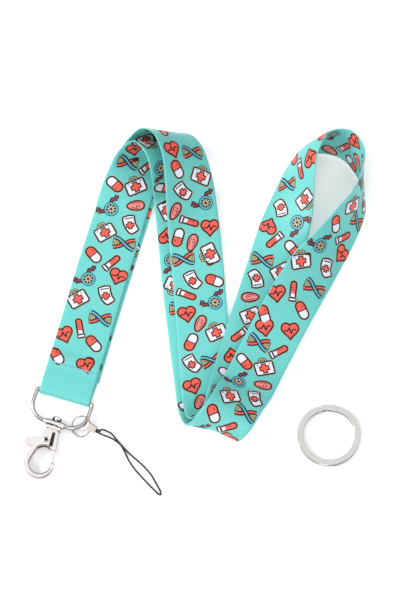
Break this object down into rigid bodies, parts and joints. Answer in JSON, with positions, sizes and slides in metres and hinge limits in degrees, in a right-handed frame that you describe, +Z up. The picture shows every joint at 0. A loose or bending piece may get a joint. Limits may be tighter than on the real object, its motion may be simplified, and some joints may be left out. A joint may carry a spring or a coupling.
{
  "type": "lanyard",
  "caption": "Printed ribbon neck lanyard laid in open curls, with a D-ring, swivelling snap hook, thin phone cord on a jump ring and a loose split key ring.",
  "frame": {"origin": "centre of the lanyard's outline on the table, cord left out, at the height of the table", "axes": "+X to the right along the row of legs, +Y towards the neck end, +Z up from the table"},
  "size_m": [0.1642, 0.1791, 0.0311],
  "materials": {
    "ribbon": "satin printed polyester",
    "thread": "twisted polyester",
    "plated_metal": "bright nickel plate on a die casting",
    "spring_wire": "drawn wire",
    "crimp_metal": "nickel-plated brass strip",
    "cord": "braided polyester",
    "polished_steel": "tumbled bright nickel"
  },
  "bodies": {
    "strap": {"strap": "ribbon", "stitching": "thread"},
    "dee": {"d_ring": "plated_metal"},
    "hook": {"hook_body": "plated_metal", "swivel_pin": "plated_metal", "gate_rivet": "plated_metal", "gate_spring": "spring_wire"},
    "gate": {"gate": "plated_metal"},
    "link": {"jump_ring": "plated_metal"},
    "cord": {"crimp": "crimp_metal", "cord_knot": "cord", "phone_cord": "cord"},
    "ring": {"key_ring": "polished_steel"}
  },
  "joints": [
    {"name": "dee_tilt", "type": "hinge", "parent": "strap", "child": "dee", "pos_m": [-0.06225, -0.045, 0.00265], "axis": [-0.95, 0.3123, 0], "range_deg": [0, 100]},
    {"name": "hook_swivel", "type": "hinge", "parent": "dee", "child": "hook", "pos_m": [-0.06681, -0.05887, 0.00265], "axis": [-0.3123, -0.95, 0], "continuous": true},
    {"name": "gate_open", "type": "hinge", "parent": "hook", "child": "gate", "pos_m": [-0.07111, -0.06714, 0.00265], "axis": [0, 0, -1], "range_deg": [0, 26], "stiffness_Nm_per_rad": 0.02},
    {"name": "link_swing", "type": "hinge", "parent": "dee", "child": "link", "pos_m": [-0.05576, -0.05903, 0.00265], "axis": [-0.8926, -0.4509, 0], "range_deg": [0, 45]},
    {"name": "clamp_swing", "type": "hinge", "parent": "link", "child": "cord", "pos_m": [-0.05009, -0.06101, 0.00452], "axis": [-0.0955, -0.967, -0.2363], "range_deg": [0, 35]},
    {"name": "ring_lift", "type": "slide", "parent": "strap", "child": "ring", "axis": [0, 0, 1], "range_m": [0, 0.05]}
  ]
}
